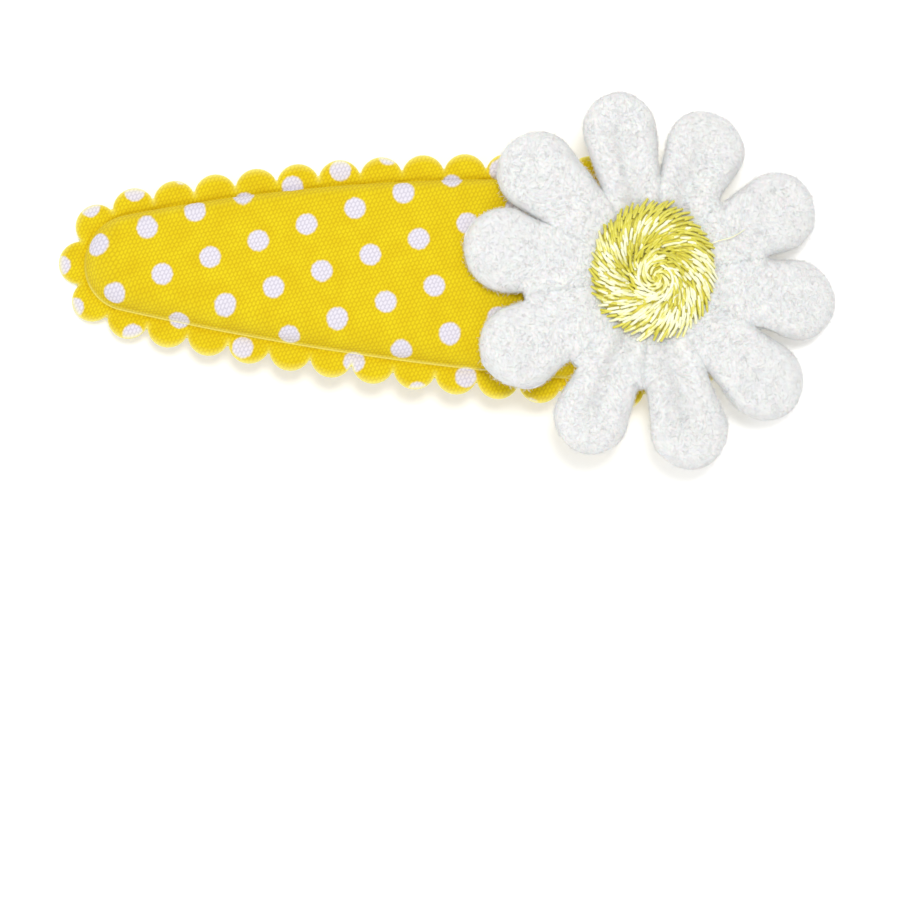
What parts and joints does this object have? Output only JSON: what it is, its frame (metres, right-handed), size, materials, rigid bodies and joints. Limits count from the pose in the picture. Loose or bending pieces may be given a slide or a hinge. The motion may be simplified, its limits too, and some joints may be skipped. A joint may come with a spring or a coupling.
{
  "type": "hair clip",
  "caption": "Padded fabric snap hair clip with a scalloped edge, a hinged steel tongue and an embroidered daisy on its wide end.",
  "frame": {"origin": "under the middle of the whole clip and daisy, on the table that the clip lies on", "axes": "+X along the clip from its narrow tip to the wide end with the daisy, +Y across it, +Z away from the hair"},
  "size_m": [0.0626, 0.0296, 0.0099],
  "materials": {
    "printed_cotton": "printed plain weave",
    "foam": "soft foam sheet",
    "spring_steel": "nickel plated",
    "rivet_steel": "nickel plated",
    "glue": "clear hot glue",
    "white_felt": "needled felt",
    "white_brushed_thread": "brushed satin stitch",
    "yellow_rayon": "glossy rayon thread"
  },
  "bodies": {
    "clip": {"back_fabric": "printed_cotton", "front_fabric": "printed_cotton", "foam_pad": "foam", "clip_frame": "spring_steel", "tongue_root": "spring_steel", "clip_rivet": "rivet_steel", "glue_pad": "glue", "daisy_backing": "white_felt", "petal_01": "white_brushed_thread", "petal_02": "white_brushed_thread", "petal_03": "white_brushed_thread", "petal_04": "white_brushed_thread", "petal_05": "white_brushed_thread", "petal_06": "white_brushed_thread", "petal_07": "white_brushed_thread", "petal_08": "white_brushed_thread", "petal_09": "white_brushed_thread", "petal_10": "white_brushed_thread", "centre_underlay": "white_felt", "centre_outer_ring": "yellow_rayon", "centre_inner_ring": "yellow_rayon", "centre_knot": "yellow_rayon"},
    "tongue": {"tongue_blade": "spring_steel"}
  },
  "joints": [
    {"name": "tongue_open", "type": "hinge", "parent": "clip", "child": "tongue", "pos_m": [0.00967, 0, 0.00343], "axis": [0, -1, 0], "range_deg": [0, 32], "stiffness_Nm_per_rad": 0.02, "springref_deg": -5.73}
  ]
}
